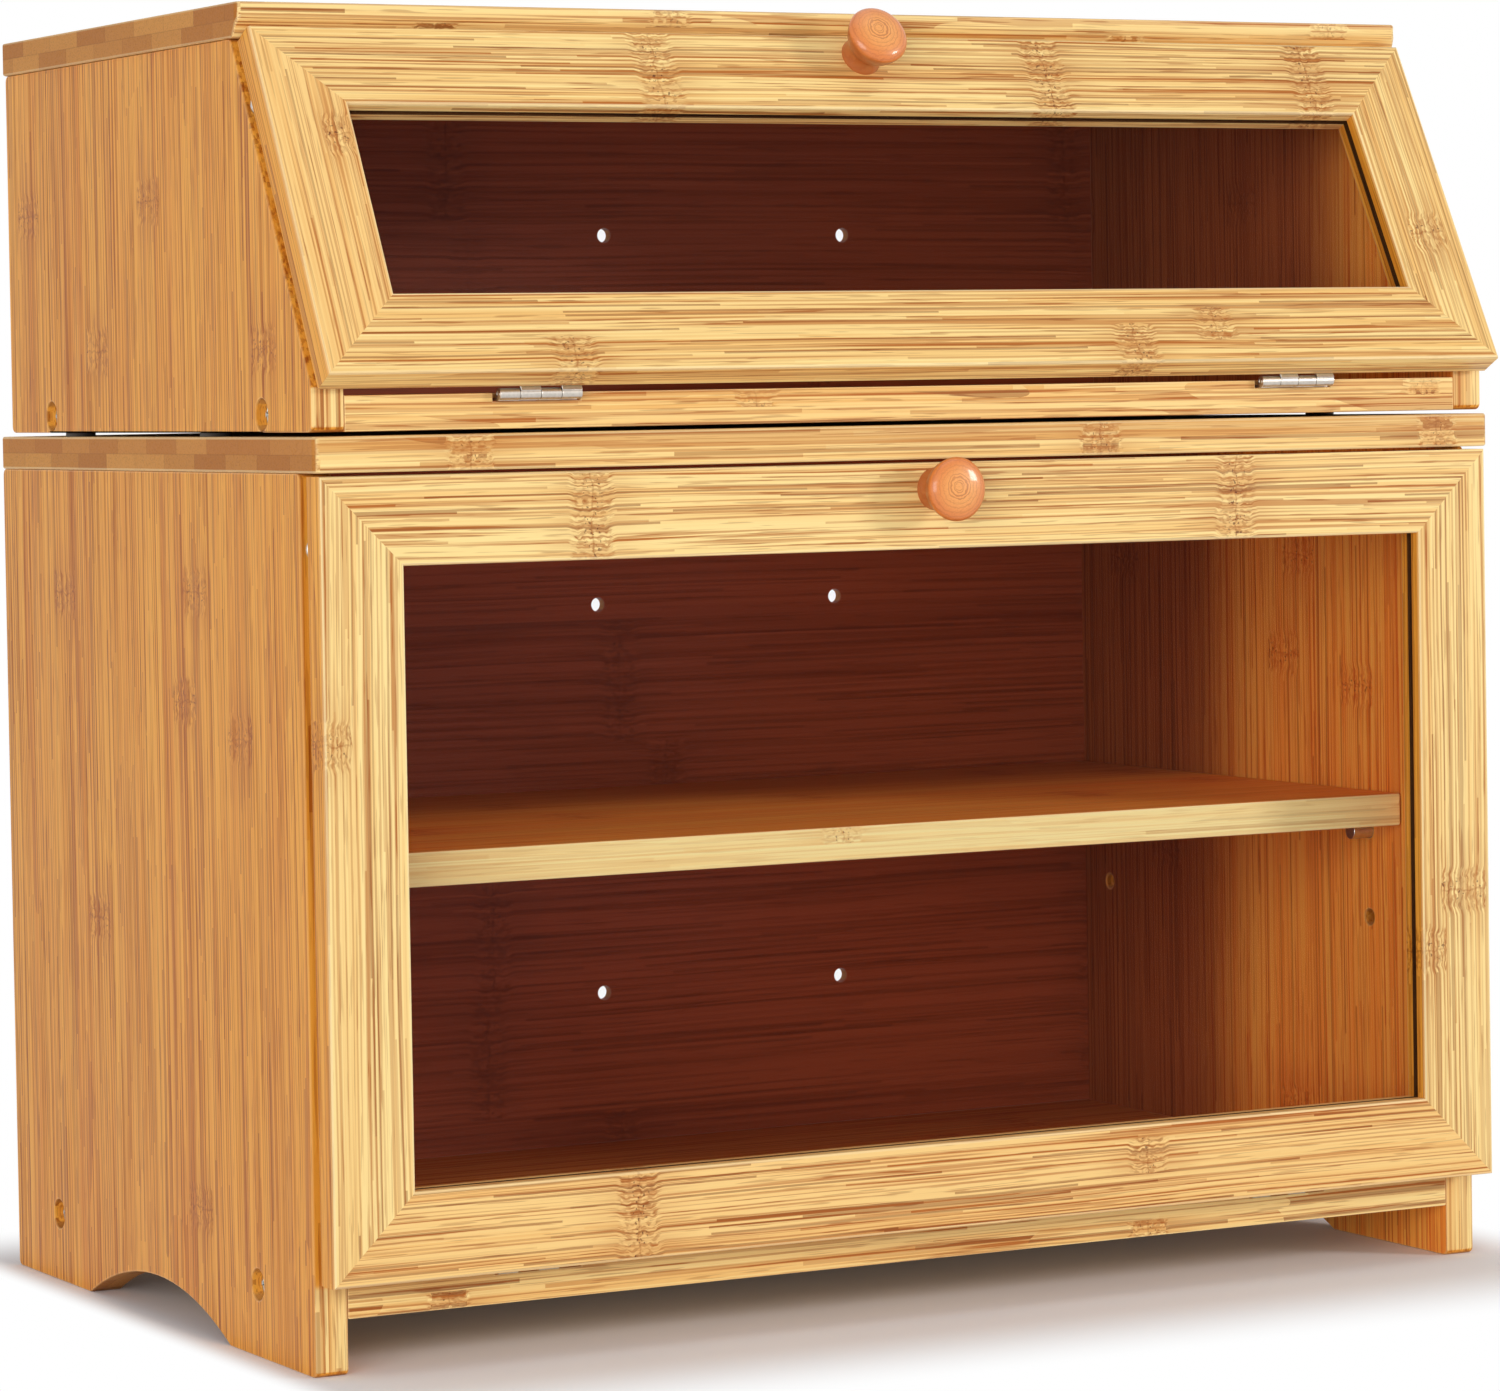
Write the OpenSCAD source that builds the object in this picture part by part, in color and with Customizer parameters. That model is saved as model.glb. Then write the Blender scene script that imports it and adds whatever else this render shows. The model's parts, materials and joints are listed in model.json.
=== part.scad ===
// Two-tier bamboo bread box: a tall lower cabinet with a shelf and a drop-down
// door, and a separate sloping-front cabinet that stands on its top board.
// Millimetres. X is the width, -Y the front, Z up from the surface it stands on.

/* [Lower cabinet] */
// Width over the outer faces of the side panels
body_width = 389; // [360:1:430]
// Depth of every side panel
body_depth = 233; // [215:1:260]
// Thickness of the side panels
side_t = 10; // [9:0.5:12]
// Thickness of the bottom boards, the shelf, the deck and the cap
board_t = 10; // [9:0.5:12]
// Height of the lower side panels, floor to deck
lower_height = 249.5; // [235:0.5:290]
// Underside of the lower bottom board above the floor
floor_gap = 15.5; // [14:0.5:24]
// Length of the arch between the feet
arch_span = 110; // [80:1:130]
// Height of the arch
arch_rise = 12.5; // [8:0.5:13.5]
// Deck in front of the side panels
deck_front = 12; // [12:0.5:14]
// Deck beyond each side panel
deck_side = 0.5; // [0:0.1:3]
// Radius of the corners of the boards
corner_r = 2; // [1:0.5:3]

/* [Shelf] */
// Top of the shelf above the bottom board
shelf_top = 116.2; // [100:0.1:140]
// Front edge of the shelf behind the front of the side panels
shelf_setback = 20.7; // [12:0.1:60]
// Gap at each end of the shelf
shelf_play = 0.5; // [0.3:0.1:1.5]
// Gap between the shelf and its pins
shelf_rest = 0.2; // [0.1:0.1:0.4]
// Diameter of the shelf pins
shelf_pin_d = 5; // [4:0.5:6]
// Spare pin holes below the ones in use
pin_pitch = 27.4; // [20:0.2:32]
// Pins from the front and back edges of the side panels
pin_inset = 39.4; // [30:0.2:60]

/* [Upper cabinet] */
// Front of the upper cabinet ahead of the lower side panels
set_forward = 9; // [6:0.5:9]
// Upright part of the front edge, below the slope
front_rise = 12.2; // [11.5:0.1:16]
// Slope of the upper door from upright
slant = 28; // [20:1:32]
// Cap beyond each side panel
cap_side = 1.2; // [0:0.1:3]
// Cap in front of the top of the slope
cap_front = 8; // [7:0.5:10]
// Height of the square front edge of the cap, above its bevel
cap_edge = 4; // [3:0.5:6]
// Bevel under the front edge of the cap, front to back
cap_bevel = 3.6; // [3:0.2:5]
// Thickness of the pads between the two cabinets
pad_t = 1.2; // [0.8:0.1:2.5]
// Diameter of the pads
pad_d = 9; // [6:0.5:9]
// Front pads behind the front of the upper cabinet
pad_front = 80; // [60:1:90]
// Back pads ahead of its back
pad_back = 46; // [30:1:60]

/* [Back panels] */
// Thickness of the back panels
back_t = 3.5; // [2.5:0.5:6]
// Back panels ahead of the back edges of the side panels
back_inset = 20.5; // [10:0.5:22]
// Depth of the grooves that hold them
groove_depth = 3; // [2:0.5:4]
// Play of a panel in its groove, each side
groove_play = 0.1; // [0.05:0.05:0.2]
// Diameter of the vent holes
vent_d = 4.5; // [4:0.5:8]
// Spacing of the vent holes across the panel
vent_pitch = 88; // [60:1:110]
// Lower row of vents above the lower bottom board
vent_low = 49; // [30:0.5:70]
// Upper row of vents above the shelf
vent_high = 59.5; // [40:0.5:70]

/* [Doors] */
// Thickness of the door frames
door_t = 9.4; // [8.5:0.1:9.6]
// Width of the stiles and rails
member_w = 25; // [22:0.5:30]
// Ends of the doors inside the ends of the deck
door_inset = 1.3; // [1:0.1:3]
// Height of the upper door, measured along it; it sets how high the cap lies
upper_door_h = 110.5; // [95:0.5:140]
// Gap between the upper door and the cap
upper_top_gap = 0.7; // [0.6:0.1:1.5]
// Gap between the lower door and the deck
door_top_gap = 0.9; // [0.6:0.1:1.5]
// Bottom edge of the lower door above its hinge pins
lower_lift = 0.25; // [0.2:0.05:0.6]
// Bottom edge of the upper door above its hinge pins
upper_lift = 1; // [0.9:0.1:1.3]
// Gap between the upper door and the sloping edges
upper_gap = 2.2; // [2.1:0.1:3]
// Thickness of the clear panes
pane_t = 2; // [1.5:0.1:2.5]
// Front of a pane behind the front of its door
pane_in = 3.8; // [3:0.1:4.2]
// Depth of the grooves that the panes sit in
groove_w = 6; // [4:0.5:6]
// Play round the edge of a pane
pane_play = 0.2; // [0.1:0.05:0.4]
// Thickness of the keys across the mitres
key_t = 2; // [1.5:0.1:2.2]
// Length of a key along the mitre
key_l = 16; // [12:1:16]
// Width of a key across the mitre
key_w = 12; // [8:1:12]

/* [Knobs] */
// Diameter of the knobs
knob_d = 18.5; // [16:0.5:22]
// How far the knobs stand out
knob_out = 15; // [13:0.5:18]
// Rounding of the edge of a knob's face
knob_edge = 2.4; // [1.6:0.2:3]
// Rise of a knob's face towards its middle
knob_crown = 1; // [0.6:0.1:1.4]
// Underside of the knob's head above its foot
knob_under = 5.2; // [4:0.2:6]
// Diameter of the knob's foot
knob_foot_d = 12.5; // [11:0.5:14]
// Diameter of the knob's neck
knob_neck_d = 10.6; // [8:0.2:10.8]
// Middle of the lower knob above the middle of its rail
knob_rise = 4.8; // [0:0.1:5.5]
// Middle of the upper knob above the middle of its rail
upper_knob_rise = 5.5; // [0:0.1:5.5]

/* [Hinges] */
// Length of the hinges
hinge_len = 25.4; // [20:0.2:32]
// Diameter of the knuckles
knuckle_d = 3.3; // [3:0.1:3.5]
// Knuckles in a hinge
knuckles = 4; // [4:2:6]
// Gap between knuckles
knuckle_gap = 0.15; // [0.1:0.05:0.3]
// Leaf, from the pin to its edge
leaf_w = 9.5; // [8.5:0.5:10.5]
// Thickness of the leaves
leaf_t = 0.9; // [0.7:0.1:1]
// Diameter of the hinge pins
hinge_pin_d = 1.5; // [1.3:0.1:1.6]
// Middle of each hinge from the outer face of the side panel
hinge_inset = 68.5; // [45:0.5:110]
// Depth of the lower hinge mortises
lower_mortise = 1.6; // [1.4:0.1:1.9]
// Depth of the upper hinge mortises
upper_mortise = 2.3; // [1.9:0.1:2.4]
// Play round a leaf in its mortise
mortise_play = 0.8; // [0.3:0.1:1.2]

/* [Catches] */
// Diameter of the magnets
magnet_d = 6; // [5:0.5:7]
// Length of a magnet inside the side panel
magnet_depth = 6; // [4:0.5:8]
// Diameter of the steel discs
disc_d = 8; // [6:0.5:8]
// Thickness of the steel discs
disc_t = 1; // [0.8:0.1:1.2]
// Gap between disc and magnet with the door shut
catch_gap = 0.3; // [0.2:0.05:0.5]
// Catches below the top edge of each door
catch_drop = 20; // [15:1:35]

/* [Fasteners] */
// Diameter of the heads of the assembly screws
screw_head_d = 8.6; // [7:0.2:9]
// Height of the heads
screw_head_h = 3; // [2:0.2:3]
// Depth of the heads below the face of the side panel
screw_sunk = 2; // [1:0.2:2.5]
// Diameter of the shanks
screw_d = 4; // [3.5:0.1:4.5]
// Length of screw inside the bottom board
screw_grip = 28; // [20:1:40]
// Play of a screw head in its counterbore
head_play = 0.2; // [0.1:0.05:0.4]
// Lower assembly screws from the front and from the back of the side panel
lower_screw_insets = [40.3, 36]; // [30:0.1:50]
// Upper assembly screws from the front and from the back
upper_screw_insets = [34.5, 34.4]; // [30:0.1:50]
// Diameter of the dowels under the deck and the cap
dowel_d = 6; // [5:0.5:6]
// Dowel inside the side panel
dowel_down = 10; // [8:1:20]
// Dowel inside the board above
dowel_up = 6.5; // [5:0.5:7]
// Dowels from the front edge and from the back panel
dowel_inset = 30; // [20:1:50]
// Diameter of the small countersunk hinge screws
hinge_screw_d = 2.2; // [1.8:0.1:2.4]
// Length of the hinge screws
hinge_screw_l = 6; // [5:0.5:6.5]
// Diameter of the knob screws
knob_screw_d = 4; // [3:0.2:4]
// Length of a knob screw inside its knob
knob_screw_grip = 9; // [6:0.5:10]

/* [Hidden] */
// Radial room in a drilled hole that holds a screw, dowel or pin
fit = 0.02;
pin_fit = 0.05;
$fn = 64;

inner_w = body_width - 2 * side_t;
side_mid = body_width / 2 - side_t / 2;
deck_width = body_width + 2 * deck_side;
deck_depth = deck_front + body_depth;
cap_width = body_width + 2 * cap_side;
// The origin lies under the middle of the whole object, knob to back edge
front_y = -(deck_depth - knob_out) / 2;
lower_front = front_y + deck_front;
lower_back = lower_front + body_depth;
upper_front = lower_front - set_forward;
upper_back = upper_front + body_depth;

// Heights
bottom_top = floor_gap + board_t;
deck_top = lower_height + board_t;
upper_base = deck_top + pad_t;
upper_floor = upper_base + board_t;
knee_z = upper_base + front_rise;

// Front faces of the back panels
lower_panel_y = lower_back - back_inset - back_t;
upper_panel_y = upper_back - back_inset - back_t;

// Hinge pins, from the faces that their leaves are screwed to: the back of the
// door, and the floor of the mortise in the bottom board
knuckle_r = knuckle_d / 2;
pin_off = knuckle_r + 0.3;
lower_pin = [front_y + door_t + pin_off, bottom_top - lower_mortise + pin_off];
upper_pin_z = upper_floor - upper_mortise + pin_off;
upper_pin_y = upper_front
    - (upper_gap - pin_off + (knee_z - upper_pin_z) * sin(slant)) / cos(slant);
upper_pin = [upper_pin_y, upper_pin_z];
hinge_x = body_width / 2 - hinge_inset;

// The cap lies where the bottom of its bevel clears the top of the shut door
cap_lap = cap_front - cap_bevel;
door_reach = upper_lift + upper_door_h + upper_top_gap;
slope_rise = cos(slant) * (door_reach - (upper_front - cap_lap - upper_pin_y) * sin(slant)
    - (knee_z - upper_pin_z) * cos(slant));
cap_z = knee_z + slope_rise;
slope_top_y = upper_front + slope_rise * tan(slant);

// Doors
door_w = deck_width - 2 * door_inset;
lower_door_h = lower_height - door_top_gap - lower_pin[1] - lower_lift;
lower_gap = deck_front - door_t;
window_w = door_w - 2 * member_w;
pane_w = window_w + 2 * groove_w;

// Shelf
shelf_z = bottom_top + shelf_top - board_t;
pin_z = shelf_z - shelf_rest - shelf_pin_d / 2;
pin_in = side_t - 2;
pin_out = 7;

// ---- Helpers -------------------------------------------------------------

function unit(v) = v / norm(v);

// Points of the arc of radius r that rounds the corner p between a and b
function round_corner(a, p, b, r, n = 6) =
    let (
        u = unit(a - p),
        v = unit(b - p),
        half = acos(u * v) / 2,
        c = p + unit(u + v) * r / sin(half),
        from = p + u * r / tan(half) - c,
        to = p + v * r / tan(half) - c,
        start = atan2(from.y, from.x),
        sweep = (atan2(to.y, to.x) - start + 540) % 360 - 180
    )
    [for (i = [0:n]) c + r * [cos(start + sweep * i / n), sin(start + sweep * i / n)]];

// An outline with each corner rounded to r
function round_outline(pts, r) =
    let (n = len(pts))
    [for (i = [0:n - 1])
        each round_corner(pts[(i + n - 1) % n], pts[i], pts[(i + 1) % n], r)];

// A plate of thickness t along X from an outline in Y and Z, its left face at x
module side_plate(x, t) {
    translate([x, 0, 0]) rotate([90, 0, 90]) linear_extrude(t) children();
}

// A horizontal board from front to back, with rounded vertical corners
module flat_board(w, y0, y1, z, t, r = corner_r) {
    translate([0, 0, z])
        linear_extrude(t)
            union() {
                translate([-w / 2, y0 + r]) square([w, y1 - y0 - 2 * r]);
                translate([-w / 2 + r, y0]) square([w - 2 * r, y1 - y0]);
                for (x = [-w / 2 + r, w / 2 - r], y = [y0 + r, y1 - r])
                    translate([x, y]) circle(r);
            }
}

// A rod along X that starts at x and runs to the right
module rod_x(x, y, z, r, l) {
    translate([x, y, z]) rotate([0, 90, 0]) cylinder(r = r, h = l);
}

module both_sides() {
    children();
    mirror([1, 0, 0]) children();
}

// ---- Side panels ---------------------------------------------------------

// Groove for the back panel in the inner face of the right side panel
module back_groove(panel_y, z0, z1) {
    translate([inner_w / 2 - 1, panel_y - groove_play, z0])
        cube([groove_depth + 1, back_t + 2 * groove_play, z1 - z0]);
}

// Counterbored holes for the assembly screws, right side
module assembly_bores(ys, z) {
    for (y = ys) {
        rod_x(inner_w / 2 - 1, y, z, screw_d / 2 + head_play, side_t + 2);
        rod_x(body_width / 2 - screw_sunk - screw_head_h, y, z,
            screw_head_d / 2 + head_play, screw_sunk + screw_head_h + 1);
    }
}

module dowel_holes(ys, z, depth_down, depth_up) {
    for (y = ys)
        translate([side_mid, y, z - depth_down])
            cylinder(d = dowel_d + 2 * fit, h = depth_down + depth_up);
}

lower_screw_ys = [lower_front + lower_screw_insets[0], lower_back - lower_screw_insets[1]];
upper_screw_ys = [upper_front + upper_screw_insets[0], upper_back - upper_screw_insets[1]];
pin_ys = [lower_front + pin_inset, lower_back - pin_inset];
deck_dowel_ys = [lower_front + dowel_inset, lower_panel_y - dowel_inset];
cap_dowel_ys = [slope_top_y + dowel_inset, upper_panel_y - dowel_inset];

module lower_side() {
    arch_r = (pow(arch_span / 2, 2) + pow(arch_rise, 2)) / (2 * arch_rise);
    outline = [
        [lower_front, 0], [lower_back, 0],
        [lower_back, lower_height], [lower_front, lower_height],
    ];
    difference() {
        side_plate(inner_w / 2, side_t)
            difference() {
                polygon(round_outline(outline, corner_r));
                translate([(lower_front + lower_back) / 2, arch_rise - arch_r])
                    circle(arch_r, $fn = 180);
            }
        back_groove(lower_panel_y, bottom_top, lower_height + 1);
        assembly_bores(lower_screw_ys, floor_gap + board_t / 2);
        dowel_holes(deck_dowel_ys, lower_height, dowel_down, 1);
        for (y = pin_ys, drop = [0, pin_pitch])
            rod_x(inner_w / 2 - 1, y, pin_z - drop, shelf_pin_d / 2 + fit, pin_in + 1);
        at_lower_pin() magnet_bore(lower_door_h + lower_lift, lower_gap);
    }
}

module upper_side() {
    outline = [
        [upper_front, upper_base], [upper_back, upper_base],
        [upper_back, cap_z], [slope_top_y, cap_z], [upper_front, knee_z],
    ];
    difference() {
        side_plate(inner_w / 2, side_t) polygon(round_outline(outline, corner_r));
        back_groove(upper_panel_y, upper_floor, cap_z + 1);
        assembly_bores(upper_screw_ys, upper_base + board_t / 2);
        dowel_holes(cap_dowel_ys, cap_z, dowel_down, 1);
        at_upper_pin() magnet_bore(upper_door_h + upper_lift, upper_gap);
    }
}

module lower_left_side() { color("peru") mirror([1, 0, 0]) lower_side(); }
module lower_right_side() { color("peru") lower_side(); }
module upper_left_side() { color("peru") mirror([1, 0, 0]) upper_side(); }
module upper_right_side() { color("peru") upper_side(); }

// ---- Boards --------------------------------------------------------------

// A bottom board between the side panels, mortised for two hinges
module bottom_board(y0, y1, z, pin_y, mortise, screw_ys) {
    difference() {
        translate([-inner_w / 2, y0, z]) cube([inner_w, y1 - y0, board_t]);
        both_sides() {
            translate([hinge_x - hinge_len / 2 - mortise_play, y0 - 1, z + board_t - mortise])
                cube([hinge_len + 2 * mortise_play,
                    pin_y + leaf_w + mortise_play - y0 + 1, mortise + 1]);
            for (x = leaf_screw_xs)
                translate([hinge_x + x, pin_y + leaf_screw_s,
                    z + board_t - mortise + leaf_t - hinge_screw_l - fit])
                    cylinder(d = hinge_screw_d + 2 * fit, h = hinge_screw_l + 1);
            for (y = screw_ys)
                rod_x(inner_w / 2 - screw_grip - fit, y, z + board_t / 2,
                    screw_d / 2 + fit, screw_grip + 1);
        }
    }
}

module lower_bottom_board() {
    color("burlywood")
        bottom_board(lower_front, lower_back, floor_gap, lower_pin[0], lower_mortise,
            lower_screw_ys);
}

module upper_bottom_board() {
    color("burlywood")
        bottom_board(upper_front, upper_back, upper_base, upper_pin[0], upper_mortise,
            upper_screw_ys);
}

module deck_board() {
    color("burlywood")
        difference() {
            flat_board(deck_width, front_y, lower_back, lower_height, board_t);
            both_sides() dowel_holes(deck_dowel_ys, lower_height, 1, dowel_up + fit);
        }
}

// The cap, with a bevel under its front edge that the door swings past
module cap_board() {
    y0 = slope_top_y - cap_front;
    outline = [
        [y0 + cap_bevel, cap_z], [upper_back, cap_z],
        [upper_back, cap_z + board_t], [y0, cap_z + board_t],
        [y0, cap_z + board_t - cap_edge],
    ];
    color("burlywood")
        difference() {
            intersection() {
                side_plate(-cap_width / 2, cap_width) polygon(outline);
                flat_board(cap_width, y0, upper_back, cap_z, board_t);
            }
            both_sides() dowel_holes(cap_dowel_ys, cap_z, 1, dowel_up + fit);
        }
}

// A back panel in the grooves of the side panels, with rows of vent holes
module back_panel(y, z0, z1, rows) {
    w = inner_w + 2 * (groove_depth - groove_play);
    difference() {
        translate([-w / 2, y, z0]) cube([w, back_t, z1 - z0]);
        for (i = [-1:1], z = rows)
            translate([i * vent_pitch, y - 1, z])
                rotate([-90, 0, 0]) cylinder(d = vent_d, h = back_t + 2);
    }
}

module lower_back_panel() {
    color("sienna")
        back_panel(lower_panel_y, bottom_top, lower_height,
            [bottom_top + vent_low, bottom_top + shelf_top + vent_high]);
}

module upper_back_panel() {
    color("sienna")
        back_panel(upper_panel_y, upper_floor, cap_z, [(upper_floor + cap_z) / 2]);
}

module shelf() {
    w = inner_w - 2 * shelf_play;
    color("burlywood")
        flat_board(w, lower_front + shelf_setback, lower_panel_y - shelf_play, shelf_z,
            board_t, 1);
}

module shelf_pins() {
    color("silver")
        both_sides()
            for (y = pin_ys)
                rod_x(inner_w / 2 - pin_out, y, pin_z, shelf_pin_d / 2, pin_out + pin_in);
}

module stacking_pads() {
    color("dimgray")
        both_sides()
            for (y = [upper_front + pad_front, upper_back - pad_back])
                translate([side_mid, y, deck_top]) cylinder(d = pad_d, h = pad_t);
}

// ---- Fasteners in the cabinets -------------------------------------------

// A pan head with a cross slot, its flat on z = 0 and its shank running down
module pan_screw(head_d, head_h, d, l, slot) {
    difference() {
        intersection() {
            cylinder(d = head_d, h = head_h);
            translate([0, 0, head_h - head_d]) sphere(head_d);
        }
        for (a = [0, 90])
            rotate([0, 0, a])
                translate([-slot / 2, -slot / 8, head_h * 0.45])
                    cube([slot, slot / 4, head_h]);
    }
    translate([0, 0, -l + d / 2]) cylinder(d = d, h = l - d / 2);
    translate([0, 0, -l]) cylinder(r1 = 0.2, r2 = d / 2, h = d / 2);
}

module assembly_screws(ys, z) {
    color("silver")
        both_sides()
            for (y = ys)
                translate([body_width / 2 - screw_sunk - screw_head_h, y, z])
                    rotate([0, 90, 0])
                        pan_screw(screw_head_d, screw_head_h, screw_d,
                            side_t - screw_sunk - screw_head_h + screw_grip,
                            screw_head_d * 0.55);
}

module lower_assembly_screws() { assembly_screws(lower_screw_ys, floor_gap + board_t / 2); }
module upper_assembly_screws() { assembly_screws(upper_screw_ys, upper_base + board_t / 2); }

module dowels(ys, z) {
    color("tan")
        both_sides()
            for (y = ys)
                translate([side_mid, y, z - dowel_down])
                    cylinder(d = dowel_d, h = dowel_down + dowel_up);
}

module deck_dowels() { dowels(deck_dowel_ys, lower_height); }
module cap_dowels() { dowels(cap_dowel_ys, cap_z); }

// ---- Hinges --------------------------------------------------------------
// Drawn round the pin, which is the X axis: a door leaf runs up +Z with the
// door in front of it, and a cabinet leaf is the same leaf turned to lie down

knuckle_l = (hinge_len - (knuckles - 1) * knuckle_gap) / knuckles;
leaf_screw_s = leaf_w * 0.6;
leaf_screw_xs = [-hinge_len * 0.32, hinge_len * 0.32];
screw_cone = leaf_t * 0.8;
screw_head_r = hinge_screw_d / 2 + screw_cone;

module at_lower_pin() { translate([0, lower_pin[0], lower_pin[1]]) children(); }
module at_upper_pin() {
    translate([0, upper_pin[0], upper_pin[1]]) rotate([-slant, 0, 0]) children();
}

// Turns a door leaf over so that it lies flat on the bottom board
module laid_flat() { mirror([0, 1, 0]) rotate([90, 0, 0]) children(); }

// A leaf with every second knuckle, the first of them at index first
module hinge_leaf(first) {
    clear = knuckle_r + 0.3;
    difference() {
        union() {
            translate([-hinge_len / 2, -pin_off, 0]) cube([hinge_len, leaf_t, leaf_w]);
            for (i = [first:2:knuckles - 1])
                rod_x(-hinge_len / 2 + i * (knuckle_l + knuckle_gap), 0, 0,
                    knuckle_r, knuckle_l);
        }
        for (i = [1 - first:2:knuckles - 1])
            translate([-hinge_len / 2 + i * (knuckle_l + knuckle_gap) - knuckle_gap,
                -pin_off - 1, -1])
                cube([knuckle_l + 2 * knuckle_gap, pin_off + 1, clear + 1]);
        rod_x(-hinge_len, 0, 0, hinge_pin_d / 2 + pin_fit, 2 * hinge_len);
        for (x = leaf_screw_xs)
            translate([x, -pin_off, leaf_screw_s]) rotate([-90, 0, 0]) {
                translate([0, 0, -1]) cylinder(d = hinge_screw_d + 2 * fit, h = leaf_t + 2);
                translate([0, 0, leaf_t - screw_cone])
                    cylinder(r1 = hinge_screw_d / 2 + fit, r2 = screw_head_r + fit,
                        h = screw_cone);
            }
    }
}

module hinge_pin() {
    color("silver") rod_x(-hinge_len / 2, 0, 0, hinge_pin_d / 2, hinge_len);
}

// The two countersunk screws of a leaf, their heads level with its open face
module leaf_screws() {
    for (x = leaf_screw_xs)
        translate([x, -pin_off + leaf_t, leaf_screw_s]) rotate([90, 0, 0]) {
            cylinder(r1 = screw_head_r, r2 = hinge_screw_d / 2, h = screw_cone);
            cylinder(d = hinge_screw_d, h = hinge_screw_l - hinge_screw_d / 2);
            translate([0, 0, hinge_screw_l - hinge_screw_d / 2])
                cylinder(r1 = hinge_screw_d / 2, r2 = 0.2, h = hinge_screw_d / 2);
        }
}

module hinge_at(side) { translate([side * hinge_x, 0, 0]) children(); }

// A cabinet leaf lies level whatever the slope of its door
module at_upper_board() { translate([0, upper_pin[0], upper_pin[1]]) children(); }

module cabinet_leaf(side) { color("silver") hinge_at(side) laid_flat() hinge_leaf(0); }
module door_leaf(side) { color("silver") hinge_at(side) hinge_leaf(1); }

module lower_left_hinge_leaf() { at_lower_pin() cabinet_leaf(-1); }
module lower_right_hinge_leaf() { at_lower_pin() cabinet_leaf(1); }
module lower_left_hinge_pin() { at_lower_pin() hinge_at(-1) hinge_pin(); }
module lower_right_hinge_pin() { at_lower_pin() hinge_at(1) hinge_pin(); }
module lower_hinge_screws() {
    color("silver") at_lower_pin() for (s = [-1, 1]) hinge_at(s) laid_flat() leaf_screws();
}
module lower_door_left_hinge_leaf() { at_lower_pin() door_leaf(-1); }
module lower_door_right_hinge_leaf() { at_lower_pin() door_leaf(1); }
module lower_door_hinge_screws() {
    color("silver") at_lower_pin() for (s = [-1, 1]) hinge_at(s) leaf_screws();
}
module upper_left_hinge_leaf() { at_upper_board() cabinet_leaf(-1); }
module upper_right_hinge_leaf() { at_upper_board() cabinet_leaf(1); }
module upper_left_hinge_pin() { at_upper_board() hinge_at(-1) hinge_pin(); }
module upper_right_hinge_pin() { at_upper_board() hinge_at(1) hinge_pin(); }
module upper_hinge_screws() {
    color("silver") at_upper_board() for (s = [-1, 1]) hinge_at(s) laid_flat() leaf_screws();
}
module upper_door_left_hinge_leaf() { at_upper_pin() door_leaf(-1); }
module upper_door_right_hinge_leaf() { at_upper_pin() door_leaf(1); }
module upper_door_hinge_screws() {
    color("silver") at_upper_pin() for (s = [-1, 1]) hinge_at(s) leaf_screws();
}

// ---- Catches -------------------------------------------------------------
// Also drawn round the pin: h is the top edge of the door above the pin, and
// gap is the room between the door's back and the edge of the side panel

module magnet_bore(h, gap) {
    translate([side_mid, gap - pin_off - 1, h - catch_drop]) rotate([-90, 0, 0])
        cylinder(d = magnet_d + 2 * fit, h = magnet_depth + 1 + fit);
}

module magnets(h, gap) {
    out = gap - disc_t - catch_gap;
    color("gray")
        both_sides()
            translate([side_mid, gap - pin_off - out, h - catch_drop]) rotate([-90, 0, 0])
                cylinder(d = magnet_d, h = magnet_depth + out);
}

module discs(h) {
    color("silver")
        both_sides()
            translate([side_mid, -pin_off, h - catch_drop]) rotate([-90, 0, 0])
                cylinder(d = disc_d, h = disc_t);
}

module lower_catch_magnets() { at_lower_pin() magnets(lower_door_h + lower_lift, lower_gap); }
module upper_catch_magnets() { at_upper_pin() magnets(upper_door_h + upper_lift, upper_gap); }
module lower_door_catch_discs() { at_lower_pin() discs(lower_door_h + lower_lift); }
module upper_door_catch_discs() { at_upper_pin() discs(upper_door_h + upper_lift); }

// ---- Doors ---------------------------------------------------------------
// Each door is drawn upright, its front on y = 0 and its bottom edge on z = 0

module at_lower_door() {
    at_lower_pin() translate([0, -pin_off - door_t, lower_lift]) children();
}
module at_upper_door() {
    at_upper_pin() translate([0, -pin_off - door_t, upper_lift]) children();
}

// A key lies across the mitre of the bottom left corner, at mid thickness
module key(play) {
    translate([-door_w / 2 + member_w / 2, 0, member_w / 2])
        rotate([0, -45, 0])
            translate([-key_l / 2 - play, 0, -key_w / 2 - play])
                translate([0, (door_t - key_t) / 2 - play, 0])
                    cube([key_l + 2 * play, key_t + 2 * play, key_w + 2 * play]);
}

module keys(h, play) {
    both_sides() {
        key(play);
        translate([0, 0, h]) mirror([0, 0, 1]) key(play);
    }
}

module knob_place(h) {
    translate([0, 0, h - member_w / 2 + (h == lower_door_h ? knob_rise : upper_knob_rise)])
        children();
}

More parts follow.
